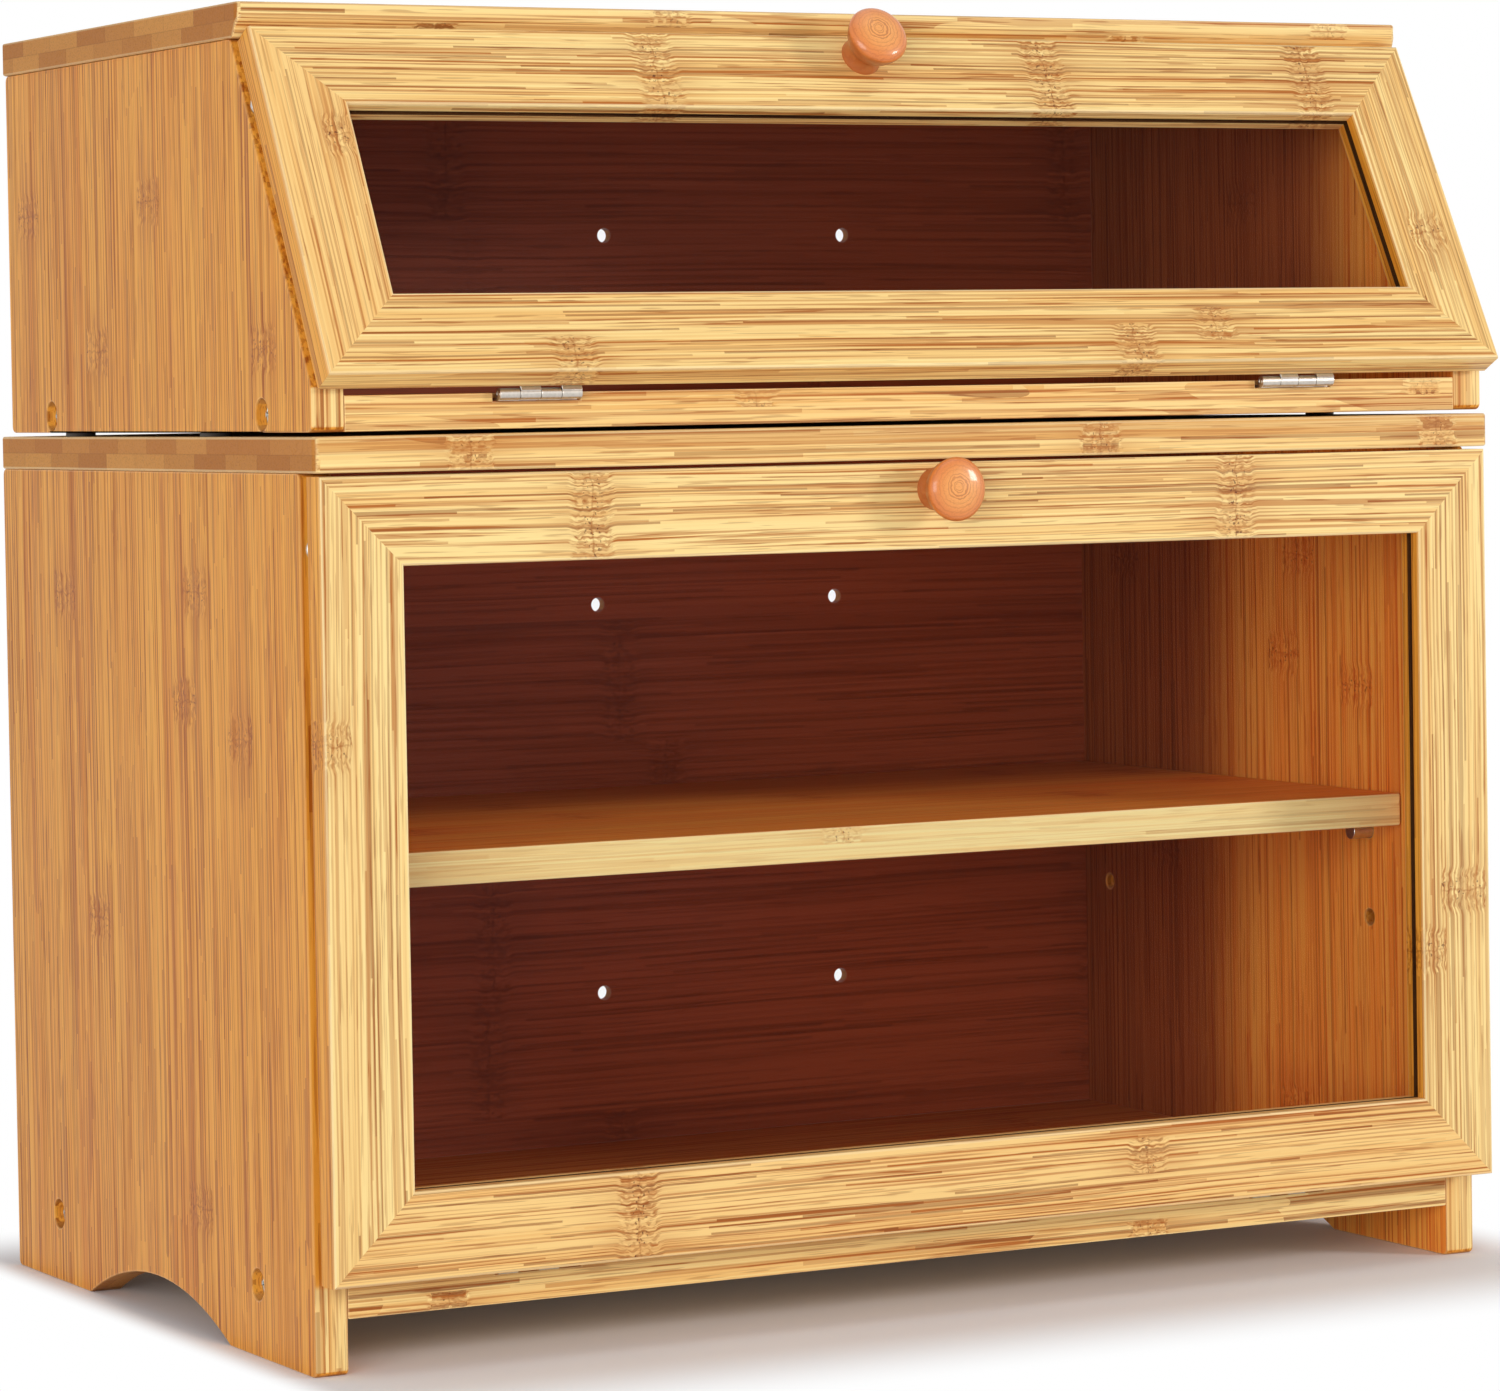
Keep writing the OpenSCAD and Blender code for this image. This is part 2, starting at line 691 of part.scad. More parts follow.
// One member cut from its outline in X and Z, with everything let into it
module member(h, outline) {
    color("wheat")
        difference() {
            translate([0, door_t, 0]) rotate([90, 0, 0]) linear_extrude(door_t)
                polygon(outline);
            translate([-pane_w / 2, pane_in, member_w - groove_w])
                cube([pane_w, pane_t, h - 2 * member_w + 2 * groove_w]);
            keys(h, fit);
            knob_place(h) translate([0, -1, 0]) rotate([-90, 0, 0])
                cylinder(d = knob_screw_d + 2 * fit, h = door_t + 2);
            for (s = [-1, 1], x = leaf_screw_xs)
                translate([s * hinge_x + x, door_t + 1, leaf_screw_s
                    - (h == lower_door_h ? lower_lift : upper_lift)])
                    rotate([90, 0, 0])
                        cylinder(d = hinge_screw_d + 2 * fit,
                            h = hinge_screw_l - leaf_t + 1 + fit);
        }
}

module left_stile(h) {
    member(h, [
        [-door_w / 2, 0], [-door_w / 2 + member_w, member_w],
        [-door_w / 2 + member_w, h - member_w], [-door_w / 2, h],
    ]);
}

module bottom_rail(h) {
    member(h, [
        [-door_w / 2, 0], [door_w / 2, 0],
        [door_w / 2 - member_w, member_w], [-door_w / 2 + member_w, member_w],
    ]);
}

module right_stile(h) {
    member(h, [
        [door_w / 2, 0], [door_w / 2, h],
        [door_w / 2 - member_w, h - member_w], [door_w / 2 - member_w, member_w],
    ]);
}

module top_rail(h) {
    member(h, [
        [door_w / 2, h], [-door_w / 2, h],
        [-door_w / 2 + member_w, h - member_w], [door_w / 2 - member_w, h - member_w],
    ]);
}

module pane(h) {
    color("lightcyan", 0.4)
        translate([-pane_w / 2 + pane_play, pane_in, member_w - groove_w + pane_play])
            cube([pane_w - 2 * pane_play, pane_t,
                h - 2 * (member_w - groove_w + pane_play)]);
}

// Turned knob: a head with a rounded edge and a slightly domed face, on a waisted
// neck, in radius and height
function knob_profile() =
    let (r = knob_d / 2, neck = knob_neck_d / 2, foot = knob_foot_d / 2, n = 10, turn = 75,
        rim = knob_out - knob_crown - knob_edge * sin(turn),
        face = r - knob_edge * (1 - cos(turn)))
    concat(
        [[0, 0]],
        [for (i = [0:n]) [
            neck + (foot - neck) * pow(1 - i / n, 2), knob_under * 0.8 * i / n]],
        [for (i = [0:n]) [
            neck + (r - neck) * sin(90 * i / n), rim - (rim - knob_under) * cos(90 * i / n)]],
        [for (i = [1:n]) [
            r - knob_edge * (1 - cos(turn * i / n)), rim + knob_edge * sin(turn * i / n)]],
        [for (i = [1:n]) [face * (1 - i / n), knob_out - knob_crown * pow(1 - i / n, 2)]]);

module knob(h) {
    color("chocolate")
        knob_place(h) rotate([90, 0, 0])
            difference() {
                rotate_extrude() polygon(knob_profile());
                translate([0, 0, -1])
                    cylinder(d = knob_screw_d + 2 * fit, h = knob_screw_grip + 1 + fit);
            }
}

module knob_screw(h) {
    color("silver")
        knob_place(h) translate([0, door_t, 0]) rotate([-90, 0, 0])
            pan_screw(knob_screw_d * 1.9, knob_screw_d * 0.6, knob_screw_d,
                door_t + knob_screw_grip, knob_screw_d);
}

module mitre_keys(h) { color("tan") keys(h, 0); }

module lower_door_left_stile() { at_lower_door() left_stile(lower_door_h); }
module lower_door_right_stile() { at_lower_door() right_stile(lower_door_h); }
module lower_door_top_rail() { at_lower_door() top_rail(lower_door_h); }
module lower_door_bottom_rail() { at_lower_door() bottom_rail(lower_door_h); }
module lower_door_mitre_keys() { at_lower_door() mitre_keys(lower_door_h); }
module lower_door_pane() { at_lower_door() pane(lower_door_h); }
module lower_door_knob() { at_lower_door() knob(lower_door_h); }
module lower_door_knob_screw() { at_lower_door() knob_screw(lower_door_h); }

module upper_door_left_stile() { at_upper_door() left_stile(upper_door_h); }
module upper_door_right_stile() { at_upper_door() right_stile(upper_door_h); }
module upper_door_top_rail() { at_upper_door() top_rail(upper_door_h); }
module upper_door_bottom_rail() { at_upper_door() bottom_rail(upper_door_h); }
module upper_door_mitre_keys() { at_upper_door() mitre_keys(upper_door_h); }
module upper_door_pane() { at_upper_door() pane(upper_door_h); }
module upper_door_knob() { at_upper_door() knob(upper_door_h); }
module upper_door_knob_screw() { at_upper_door() knob_screw(upper_door_h); }

// ---- Nodes ---------------------------------------------------------------

lower_left_side();
lower_right_side();
lower_bottom_board();
lower_back_panel();
deck_board();
lower_assembly_screws();
deck_dowels();
shelf();
shelf_pins();
lower_catch_magnets();
lower_left_hinge_leaf();
lower_right_hinge_leaf();
lower_left_hinge_pin();
lower_right_hinge_pin();
lower_hinge_screws();
lower_door_left_stile();
lower_door_right_stile();
lower_door_top_rail();
lower_door_bottom_rail();
lower_door_mitre_keys();
lower_door_pane();
lower_door_knob();
lower_door_knob_screw();
lower_door_catch_discs();
lower_door_left_hinge_leaf();
lower_door_right_hinge_leaf();
lower_door_hinge_screws();
upper_left_side();
upper_right_side();
upper_bottom_board();
upper_back_panel();
cap_board();
upper_assembly_screws();
cap_dowels();
stacking_pads();
upper_catch_magnets();
upper_left_hinge_leaf();
upper_right_hinge_leaf();
upper_left_hinge_pin();
upper_right_hinge_pin();
upper_hinge_screws();
upper_door_left_stile();
upper_door_right_stile();
upper_door_top_rail();
upper_door_bottom_rail();
upper_door_mitre_keys();
upper_door_pane();
upper_door_knob();
upper_door_knob_screw();
upper_door_catch_discs();
upper_door_left_hinge_leaf();
upper_door_right_hinge_leaf();
upper_door_hinge_screws();
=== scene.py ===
import json
import math

import bmesh
import bpy
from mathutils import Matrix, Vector


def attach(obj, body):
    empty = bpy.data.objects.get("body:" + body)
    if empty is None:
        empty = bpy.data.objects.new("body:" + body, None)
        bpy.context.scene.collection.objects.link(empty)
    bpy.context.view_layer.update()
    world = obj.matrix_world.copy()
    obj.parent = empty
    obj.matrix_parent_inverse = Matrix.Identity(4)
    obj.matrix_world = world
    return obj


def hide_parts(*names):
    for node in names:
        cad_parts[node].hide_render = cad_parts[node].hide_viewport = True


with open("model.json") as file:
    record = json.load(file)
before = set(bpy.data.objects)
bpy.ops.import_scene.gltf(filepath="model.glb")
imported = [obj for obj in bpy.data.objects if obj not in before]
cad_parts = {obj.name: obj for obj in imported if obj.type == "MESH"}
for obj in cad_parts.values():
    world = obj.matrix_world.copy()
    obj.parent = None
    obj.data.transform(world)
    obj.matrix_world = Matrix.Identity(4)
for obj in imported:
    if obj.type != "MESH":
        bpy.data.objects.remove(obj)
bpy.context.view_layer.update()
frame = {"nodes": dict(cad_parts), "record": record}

# ---- Side panels of the lower cabinet ----
# Each is one board of bamboo strips glued side by side, about 10 mm thick, its
# grain upright. The bottom edge is sawn to an arch, and every edge is eased.


def worked(node, arris, leave=None, rounds=2):
    """A copy of a node's solid with its edges eased by arris metres. leave says which
    edges stay sharp, by their middle."""
    mesh = frame["nodes"][node].data.copy()
    mesh.materials.clear()
    piece = bpy.data.objects.new(node + "_worked", mesh)
    bpy.context.scene.collection.objects.link(piece)
    bpy.ops.object.select_all(action="DESELECT")
    bpy.context.view_layer.objects.active = piece
    piece.select_set(True)
    bpy.ops.mesh.customdata_custom_splitnormals_clear()
    bpy.ops.object.mode_set(mode="EDIT")
    bpy.ops.mesh.select_all(action="SELECT")
    bpy.ops.mesh.remove_doubles(threshold=2e-6)
    bpy.ops.mesh.dissolve_limited(angle_limit=math.radians(1))
    bpy.ops.mesh.select_all(action="DESELECT")
    bpy.ops.mesh.select_mode(type="EDGE")
    bpy.ops.mesh.edges_select_sharp(sharpness=math.radians(35))
    if leave:
        grown = bmesh.from_edit_mesh(mesh)
        for edge in grown.edges:
            if edge.select and leave((edge.verts[0].co + edge.verts[1].co) / 2):
                edge.select = False
        bmesh.update_edit_mesh(mesh)
    bpy.ops.mesh.bevel(offset=arris, segments=rounds, clamp_overlap=False)
    grown = bmesh.from_edit_mesh(mesh)
    # The bevel's faces are marked in the arris layer; the materials paint them pale as a painted highlight.
    eased = grown.loops.layers.float.new("arris")
    for face in grown.faces:
        narrow = face.calc_area() / max(edge.calc_length() for edge in face.edges) < 1.5 * arris
        for loop in face.loops:
            loop[eased] = float(face.select and narrow)
    bmesh.update_edit_mesh(mesh)
    bpy.ops.object.mode_set(mode="OBJECT")
    bpy.ops.object.shade_smooth_by_angle(angle=math.radians(38))
    weigh = piece.modifiers.new("weigh", "WEIGHTED_NORMAL")
    weigh.keep_sharp = True
    bpy.ops.object.modifier_apply(modifier=weigh.name)
    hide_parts(node)
    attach(piece, next(b for b, nodes in frame["record"]["behaviour"]["bodies"].items() if node in nodes))
    return piece


def srgb(red, green, blue):
    """A colour as it looks on a screen, 0 to 255, in linear light."""
    return tuple(c / 12.92 if c <= 0.04045 else ((c + 0.055) / 1.055) ** 2.4
                 for c in (red / 255, green / 255, blue / 255)) + (1.0,)


class Wire:
    """An output socket in a material, which Python's arithmetic works on."""

    def __init__(self, tree, socket=None):
        self.tree, self.socket = tree, socket

    def node(self, kind, settings=None, values=None, out=0):
        made = self.tree.nodes.new("ShaderNode" + kind)
        for name, value in (settings or {}).items():
            if name == "stops":
                ramp = made.color_ramp
                while len(ramp.elements) < len(value):
                    ramp.elements.new(0.5)
                for stop, (place, colour) in zip(ramp.elements, value):
                    stop.position, stop.color = place, colour
            else:
                setattr(made, name, value)
        for name, value in (values or {}).items():
            if isinstance(value, Wire):
                self.tree.links.new(value.socket, made.inputs[name])
            else:
                made.inputs[name].default_value = value
        return Wire(self.tree, made.outputs[out])

    def maths(self, operation, *values):
        return self.node("Math", {"operation": operation}, dict(enumerate(values)))

    def __add__(self, other): return self.maths("ADD", self, other)
    def __radd__(self, other): return self.maths("ADD", other, self)
    def __sub__(self, other): return self.maths("SUBTRACT", self, other)
    def __rsub__(self, other): return self.maths("SUBTRACT", other, self)
    def __mul__(self, other): return self.maths("MULTIPLY", self, other)
    def __rmul__(self, other): return self.maths("MULTIPLY", other, self)
    def __truediv__(self, other): return self.maths("DIVIDE", self, other)
    def __neg__(self): return self.maths("MULTIPLY", self, -1)
    def __abs__(self): return self.maths("ABSOLUTE", self)
    def floor(self): return self.maths("FLOOR", self)
    def fract(self): return self.maths("FRACT", self)
    def root(self): return self.maths("SQRT", self)
    def larger(self, other): return self.maths("MAXIMUM", self, other)
    def smaller(self, other): return self.maths("MINIMUM", self, other)

    def over(self, low, high):
        """0 below low, 1 above high, smooth between."""
        return self.node("MapRange", {"interpolation_type": "SMOOTHSTEP"},
                         {"Value": self, "From Min": low, "From Max": high})

    def dot(self, direction):
        """How far this place lies along a direction; a direction 1000 long gives mm."""
        return self.node("VectorMath", {"operation": "DOT_PRODUCT"}, {0: self, 1: direction}, out=1)

    def joined(self, x, y, z):
        return self.node("CombineXYZ", None, {0: x, 1: y, 2: z})

    def noise(self, x, y, z, detail=2.0, roughness=0.55):
        return self.node("TexNoise", None, {"Vector": self.joined(x, y, z), "Scale": 1.0,
                                            "Detail": detail, "Roughness": roughness})

    def chance(self, x, y, z=0.0):
        return self.node("TexWhiteNoise", {"noise_dimensions": "3D"}, {"Vector": self.joined(x, y, z)})

    def mixed(self, factor, a, b):
        return self.node("Mix", {"data_type": "RGBA"}, {0: factor, 6: a, 7: b}, out=2)

    def shown(self, where="Material"):
        """Makes this shader the one that the material or the world shows."""
        output = self.tree.nodes.new("ShaderNodeOutput" + where)
        self.tree.links.new(self.socket, output.inputs["Surface"])


def blank_material(name):
    made = bpy.data.materials.new(name)
    made.use_nodes = True
    made.node_tree.nodes.clear()
    return made, Wire(made.node_tree)


def bamboo(name, grain, across, through, strip=25.0, layer=5.0, knuckles=(), spots=(), tones=None,
           pitch=0.70, shift=(0.0, 0.0), tints=(), upper_layer=0.0, drawn=1.0, gloss=0.40, edge_highlight=0.25,
           seed=0.0):
    """Laminated bamboo. grain, across and through are the directions of the fibres, of
    the strips' width and of the board's thickness. pitch sets the spacing of the fibre
    lines in mm, drawn how strongly they show, and the arris highlight weight how pale
    the arrises are painted, a painted highlight. Cane joints run over the whole width
    at the knuckles, which are places along the grain in mm, or over a part of it at the
    spots, (across, along, half width); without both each strip has its own. tints are
    (test, tones) for faces of another colour, among them painted light and shade."""
    made, wire = blank_material(name)
    place = wire.node("TexCoord", out=3)
    facing = wire.node("TexCoord", out=1)
    along = place.dot([1000 * c for c in grain])
    flat_side = place.dot([1000 * c for c in across])
    depth = place.dot([1000 * c for c in through]) + shift[1]
    tier = (depth / layer).floor()
    side = flat_side + shift[0] + tier * 9.3
    sawn_end = abs(facing.dot(grain)).over(0.55, 0.8)
    pale, mid, deep, mark = tones or FRONT_TONES
    for test, others in tints:
        here = test(wire, place, facing)
        pale, mid, deep, mark = [wire.mixed(here, a, b) for a, b in zip((pale, mid, deep, mark), others)]

    # strips and layers, each of its own tone
    row = (side / strip).floor()
    tone = wire.chance(row + seed, tier, seed)
    other = wire.chance(row + 31.7, tier + seed, 5.0)
    glue = abs((side / strip).fract() - 0.5).over(0.5 - 0.4 / strip, 0.5)

    # cane joints: places where the fibres waver
    ragged = (wire.noise(along * 0.12, side * 0.30, depth * 0.30, 1.0) - 0.5) * 3
    if knuckles or spots:
        gaps = [abs(along + ragged - at) for at in knuckles]
        for middle, at, half in spots:
            beyond = abs(flat_side - middle) - half
            gaps.append(abs(along + ragged - at) + beyond.larger(0.0) * 9)
        near = gaps[0]
        for gap in gaps[1:]:
            near = near.smaller(gap)
        present = 1.0
    else:
        near = abs(((along / 230 + other * 7.3).fract() - 0.5) * 230 + ragged)
        present = other.over(0.35, 0.4)
    knot = (1 - near.over(4.0, 8.0)) * present
    flush = (1 - near.over(4.0, 22.0)) * present

    # fibres: soft bands, then lines that come and go, and short dark strokes
    sway = wire.noise(along * 0.007, side * 0.04, depth * 0.04, 1.0) * 2.4
    wavy = sway + wire.noise(along * 0.40, side * 0.35, depth * 0.35, 1.0) * knot * 1.6
    lane, sheet = (side + wavy) / pitch, (depth + wavy * 0.5) / pitch
    band = wire.noise(along * 0.004 + tone * 40, lane * 0.20, sheet * 0.20, 2.0).over(0.38, 0.62)
    fibre = wire.noise(along * 0.007 + tone * 90, lane, sheet, 1.5, 0.5)
    line = fibre.over(0.52, 0.62)
    light = 1 - fibre.over(0.36, 0.44)

    # single fibre bundles, each a thin run of its own tone that starts and ends somewhere
    bundle, under = (lane * 1.15).floor(), (sheet * 0.6).floor()
    run = (along / 120 + wire.chance(bundle, under, 1.0) * 60).floor()
    shade = wire.chance(bundle, run + seed, under)
    stroke = wire.noise(along * 0.045 + other * 50, lane * 0.9, sheet * 0.9, 1.0).over(0.60, 0.67)

    # at a joint: short wavy strokes, a hairline across, and dots of cut vessels
    curl = wire.noise(along * 0.42, lane * 0.75, sheet * 0.75, 1.0).over(0.50, 0.60) * knot
    hairline = (1 - near.over(0.1, 0.45)) * present
    dots = wire.noise(along * 1.3, side * 1.1, depth * 1.1, 0.0).over(0.725, 0.75) * (
        1 - near.over(2.0, 4.0)) * present

    colour = wire.mixed(band * 0.45 + tone * 0.55, pale, mid)
    colour = wire.mixed(flush * 0.26, colour, deep)
    colour = wire.mixed(light * 0.50 + (1 - shade.over(0.20, 0.24)) * 0.50, colour, pale)
    colour = wire.mixed((line * 0.62 + stroke * 0.30 + shade.over(0.70, 0.74) * 0.40) * drawn, colour, deep)
    colour = wire.mixed(curl * 0.40 + hairline * 0.32, colour, deep)
    colour = wire.mixed((stroke * 0.14 + shade.over(0.90, 0.92) * 0.32) * drawn + curl * 0.08
                        + hairline * 0.08 + dots * 0.70, colour, mark)
    colour = wire.mixed(glue * 0.25, colour, deep)

    # sawn ends: blocks of strips in layers, dotted with cut fibres
    block = wire.chance(row + 3.1, tier + 9.2, 2.0)
    grains = wire.noise(side * 2.0, depth * 2.0, along * 0.3, 2.0, 0.7)
    seam = glue.larger(abs((depth / layer).fract() - 0.5).over(0.44, 0.5))
    ends = wire.mixed(block, END_TONES[0], END_TONES[1])
    ends = wire.mixed(grains.over(0.50, 0.66) * 0.30 + seam * 0.25, ends, END_TONES[2])
    colour = wire.mixed(sawn_end, colour, ends)
    if upper_layer:
        colour = wire.mixed((depth / (2 * layer)).fract().over(0.48, 0.52) * upper_layer, colour, deep)

    # painted highlight: the eased edges are painted paler, and they are made smoother
    arris = wire.node("Attribute", {"attribute_name": "arris"}, out=2)
    colour = wire.mixed(arris * edge_highlight, colour, wire.mixed(0.30, pale, srgb(255, 244, 214)))

    height = fibre * 0.5 - line * 0.4 - curl * 0.2 - dots * 0.4
    bump = wire.node("Bump", None, {"Strength": 0.30, "Distance": 0.00012, "Height": height})
    upward = facing.dot((0, 0, 1)).over(0.6, 0.9)
    rough = gloss + line * 0.10 + sawn_end * 0.15 - arris * 0.10 + upward * 0.18
    shader = wire.node("BsdfPrincipled", None, {
        "Base Color": colour, "Roughness": rough, "Normal": bump,
        "Specular IOR Level": 0.22, "Coat Weight": 0.03, "Coat Roughness": 0.2})
    shader.shown()
    return made


# Places in mm that the tints start and end at
INNER_WALL = 184.5
UPPER_CABINET = 262
FEET_TOP = 25
FEET_BACK = -98


def between_sides(wire, place, facing):
    return 1 - abs(place.dot((1000, 0, 0))).over(INNER_WALL + 0.02, INNER_WALL + 0.1)


# Painted shade: inside the cabinet the faces turn darker towards the back.
def painted_shade_deep_inside(wire, place, facing):
    depth = place.dot((0, 1000, 0))
    upper = place.dot((0, 0, 1000)).over(UPPER_CABINET, UPPER_CABINET + 2)
    return between_sides(wire, place, facing) * (
        upper * depth.over(-75, -25) + (1 - upper) * depth.over(-8, 42)) * 0.9


def front_edge(wire, place, facing):
    height = place.dot((0, 0, 1000))
    low = 1 - height.over(FEET_TOP - 1, FEET_TOP + 1)
    high = height.over(UPPER_CABINET - 2, UPPER_CABINET - 1)
    feet = (low + high) * (1 - place.dot((0, 1000, 0)).over(FEET_BACK - 1, FEET_BACK))
    forward = (-facing.dot((0, 1, 0))).over(0.92, 0.98)
    return forward * (1 - between_sides(wire, place, facing)) * feet


FRONT_TONES = (srgb(255, 226, 154), srgb(240, 186, 106), srgb(184, 108, 42), srgb(104, 52, 20))
# Faces turned sideways: the bamboo's own orange, made darker as painted shade.
SIDE_TONES_WITH_SHADE = (srgb(246, 176, 68), srgb(222, 138, 36), srgb(170, 86, 14), srgb(140, 68, 18))
END_TONES = (srgb(214, 150, 72), srgb(178, 110, 42), srgb(124, 70, 24))
# Faces inside the cabinet: brighter, more orange tones, painted light and shade that stand in for how light
# falls inside.
INSIDE_LIGHT_AND_SHADE_TONES = (srgb(255, 182, 80), srgb(255, 148, 50), srgb(222, 98, 28), srgb(130, 54, 14))
# Painted shade deep inside the cabinet, towards the back.
DEEP_SHADE_TONES = (srgb(150, 68, 36), srgb(126, 54, 28), srgb(100, 42, 22), srgb(70, 28, 12))

# Joints of the cane in the outer faces: depth, height and half width in mm
JOINTS_SIDE = tuple((depth, height, 8.5) for depth, height in (
    (-80, 284), (47, 285), (4, 328), (103, 327), (-22, 37), (78, 212), (-26, 215), (-58, 174), (-17, 183),
    (54, 115)))
# Side panels: the outer faces take the sideways tones with painted shade, the inside faces painted light
# and shade, and painted shade darkens them towards the back.
side_bamboo = bamboo("side bamboo", (0, 0, 1), (0, 1, 0), (1, 0, 0), strip=19.0, pitch=0.9,
                     spots=JOINTS_SIDE, drawn=0.85, tones=SIDE_TONES_WITH_SHADE, shift=(2.0, 0.5), seed=3.0,
                     tints=((front_edge, FRONT_TONES), (between_sides, INSIDE_LIGHT_AND_SHADE_TONES),
                            (painted_shade_deep_inside, DEEP_SHADE_TONES)))
for node in ("lower_left_side", "lower_right_side"):
    panel = worked(node, 0.0005)
    panel.data.materials.append(side_bamboo)

# ---- Bottom board of the lower cabinet ----
# A board between the side panels, its strips running the width of the cabinet. Its
# front edge is mortised for the hinges, and four screws through the sides hold it.


# The tops of the boards inside the cabinet take the inside tones, painted light and shade.
def face_up(wire, place, facing):
    return facing.dot((0, 0, 1)).over(0.6, 0.8)


# Painted shade on the tops of the boards, darker towards the back.
def painted_shade_on_deep_tops(wire, place, facing):
    return face_up(wire, place, facing) * place.dot((0, 1000, 0)).over(0, 80) * 0.6


board_bamboo = bamboo("board bamboo", (1, 0, 0), (0, 1, 0), (0, 0, 1), strip=22.0, shift=(4.0, -0.5),
                      seed=7.0, tints=((face_up, INSIDE_LIGHT_AND_SHADE_TONES), (painted_shade_on_deep_tops, DEEP_SHADE_TONES)))
floor_board = worked("lower_bottom_board", 0.0004)
floor_board.data.materials.append(board_bamboo)

# ---- Back panel of the lower cabinet ----
# A thin panel let into grooves of the side panels, with round vent
# holes above and below the shelf. Its dark reddish tones are painted
# shade, standing in for the shade inside the cabinet.

BACK_PANEL_SHADE_TONES = (srgb(172, 82, 44), srgb(146, 64, 32), srgb(118, 50, 26), srgb(96, 40, 20))
back_panel_shade_bamboo = bamboo("back panel bamboo", (1, 0, 0), (0, 0, 1), (0, 1, 0), strip=40.0, layer=8.0,
                      tones=BACK_PANEL_SHADE_TONES, shift=(3.0, 2.0), seed=12.0, gloss=0.45, pitch=1.1, drawn=0.6)
back = worked("lower_back_panel", 0.0003)
back.data.materials.append(back_panel_shade_bamboo)

# ---- Deck ----
# The lower cabinet's top board. It overhangs the sides a little, stands over the
# door in front, and sits on dowels.

deck = worked("deck_board", 0.0007, rounds=3)
JOINTS_DECK = ((-112, -148, 8), (-112, 56, 8), (-112, 176, 8))
deck.data.materials.append(bamboo("deck bamboo", (1, 0, 0), (0, 1, 0), (0, 0, 1), strip=23.0,
                                  spots=JOINTS_DECK, shift=(1.0, 0.5), seed=21.0,
                                  upper_layer=0.30, edge_highlight=0.4, drawn=0.8))

# ---- Dowels and mitre keys ----
# Plain turned and sawn bamboo, glued in and out of sight: the dowels join the top
# boards to the side panels, and the keys hold the mitres of the door frames.

plain_bamboo = bamboo("plain bamboo", (0, 0, 1), (0, 1, 0), (1, 0, 0), strip=4.0, layer=4.0, seed=2.0)
for node in ("deck_dowels", "cap_dowels", "lower_door_mitre_keys", "upper_door_mitre_keys"):
    frame["nodes"][node].data.materials.clear()
    frame["nodes"][node].data.materials.append(plain_bamboo)

# ---- Screws, pins, magnets and discs ----
# Bright zinc-plated steel. The heads of the assembly screws lie in counterbores of
# the side panels and have cross recesses.


def metal(name, colour, rough, streak=0.0):
    made, wire = blank_material(name)
    place = wire.node("TexCoord", out=3)
    x, y, z = place.dot((1000, 0, 0)), place.dot((0, 1000, 0)), place.dot((0, 0, 1000))
    worn = wire.noise(x * 0.9, y * 0.9, z * 0.9, 3.0)
    brushed = wire.noise(x * 0.25, y * 9, z * 9, 2.0)
    tint = wire.mixed(worn.over(0.35, 0.75) * 0.5, colour, [c * 0.72 for c in colour[:3]] + [1.0])
    bump = wire.node("Bump", None, {"Strength": 0.25, "Distance": 0.00003, "Height": brushed})
    shader = wire.node("BsdfPrincipled", None, {
        "Base Color": tint, "Metallic": 1.0, "Roughness": rough + worn * 0.14 + brushed * streak,
        "Normal": bump})
    shader.shown()
    return made


zinc = metal("zinc plate", srgb(214, 214, 210), 0.20, 0.12)
for node in ("lower_assembly_screws", "upper_assembly_screws", "shelf_pins", "lower_hinge_screws",
             "upper_hinge_screws", "lower_door_hinge_screws", "upper_door_hinge_screws",
             "lower_door_knob_screw", "upper_door_knob_screw", "lower_door_catch_discs",
             "upper_door_catch_discs", "lower_catch_magnets", "upper_catch_magnets"):
    piece = worked(node, 0.00012, rounds=1)
    piece.data.materials.append(zinc)

# ---- Shelf ----
# A loose board that rests on four steel pins between the side panels.

# Painted light: paler tones than the front's, standing in for light on the shelf's front edge, which lies
# in shade behind the door frame.
SHELF_PAINTED_LIGHT_TONES = (srgb(255, 234, 166), srgb(255, 216, 140), srgb(226, 162, 88), srgb(130, 70, 30))
shelf = worked("shelf", 0.0006)
shelf.data.materials.append(bamboo("shelf bamboo", (1, 0, 0), (0, 1, 0), (0, 0, 1), strip=24.0,
                                   shift=(2.0, 3.3), seed=33.0, tones=SHELF_PAINTED_LIGHT_TONES, drawn=0.45,
                                   tints=((face_up, INSIDE_LIGHT_AND_SHADE_TONES), (painted_shade_on_deep_tops, DEEP_SHADE_TONES))))

# ---- Hinges ----
# Small steel butt hinges, bright plated: rolled knuckles on leaves let into the
# bottom boards and screwed to the backs of the doors, on a steel pin.

plated = metal("bright plate", srgb(206, 198, 188), 0.22, 0.12)
for cabinet in ("lower", "upper"):
    for hand in ("left", "right"):
        for node in (f"{cabinet}_{hand}_hinge_leaf", f"{cabinet}_{hand}_hinge_pin",
                     f"{cabinet}_door_{hand}_hinge_leaf"):
            piece = worked(node, 0.00012, rounds=1)
            piece.data.materials.append(plated)

# ---- Door frames ----
# Four members of solid bamboo, 25 mm wide, mitred and keyed at the corners. The
# fibres follow each member and step down along the mitres.

slant = math.radians(28)
up_slope = (0.0, math.sin(slant), math.cos(slant))
out_slope = (0.0, math.cos(slant), -math.sin(slant))
